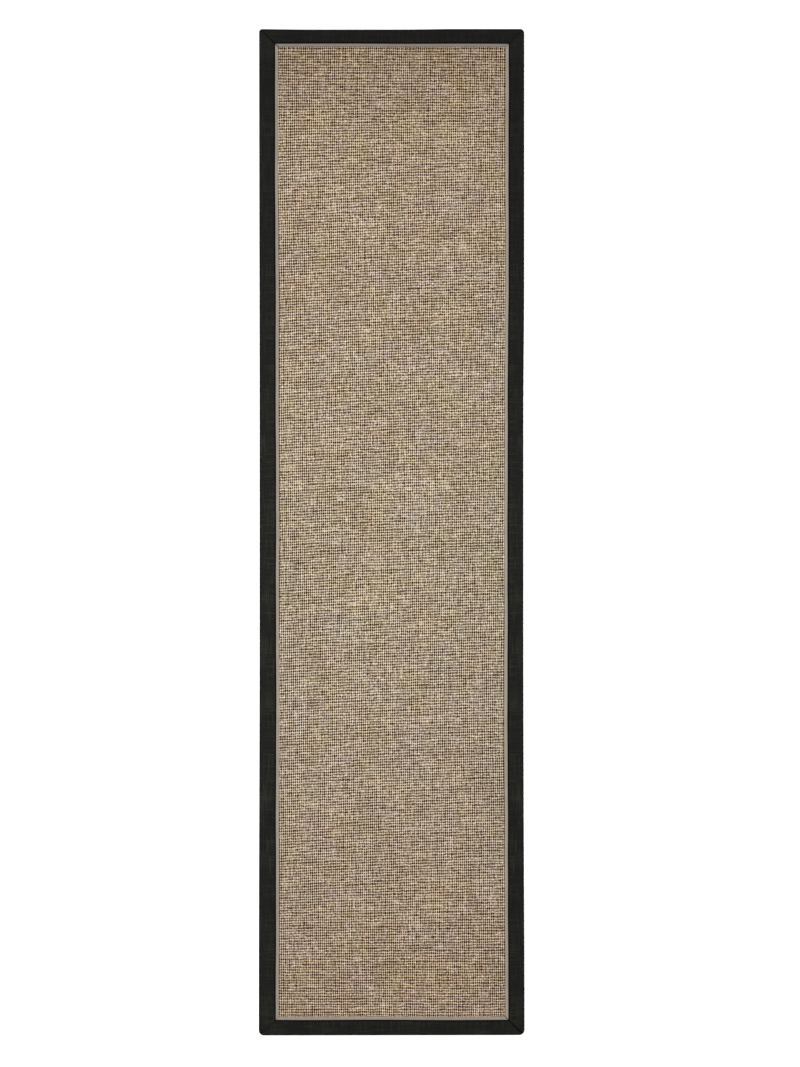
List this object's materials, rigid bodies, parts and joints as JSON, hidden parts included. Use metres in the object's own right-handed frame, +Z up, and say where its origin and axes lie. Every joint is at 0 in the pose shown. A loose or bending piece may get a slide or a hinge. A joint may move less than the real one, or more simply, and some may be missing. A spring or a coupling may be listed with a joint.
{
  "type": "runner rug",
  "caption": "Long flat-woven runner rug with a wide mitred canvas border and a narrow accent strip, laid on a floor in a hallway.",
  "frame": {"origin": "middle of the underside, on the floor", "axes": "+X across the width towards the right-hand border, +Y along the length towards the head end, +Z up out of the woven face"},
  "size_m": [0.762, 2.896, 0.0093],
  "materials": {
    "woven_face": "coarse matte weave",
    "accent_tape": "matte cotton tape",
    "border_canvas": "matte canvas",
    "black_thread": "spun polyester",
    "backing_latex": "matte latex coat",
    "hem_glue": "set hot melt"
  },
  "bodies": {
    "root": {"woven_field": "woven_face", "latex_backing": "backing_latex", "accent_left": "accent_tape", "accent_right": "accent_tape", "accent_head": "accent_tape", "accent_foot": "accent_tape", "border_left": "border_canvas", "border_right": "border_canvas", "border_head": "border_canvas", "border_foot": "border_canvas", "seam_thread_left": "black_thread", "seam_thread_right": "black_thread", "seam_thread_head": "black_thread", "seam_thread_foot": "black_thread", "corner_stitches_head_left": "black_thread", "corner_stitches_foot_left": "black_thread", "corner_stitches_head_right": "black_thread", "corner_stitches_foot_right": "black_thread", "hem_glue_left": "hem_glue", "hem_glue_right": "hem_glue", "hem_glue_head": "hem_glue", "hem_glue_foot": "hem_glue"}
  },
  "joints": []
}
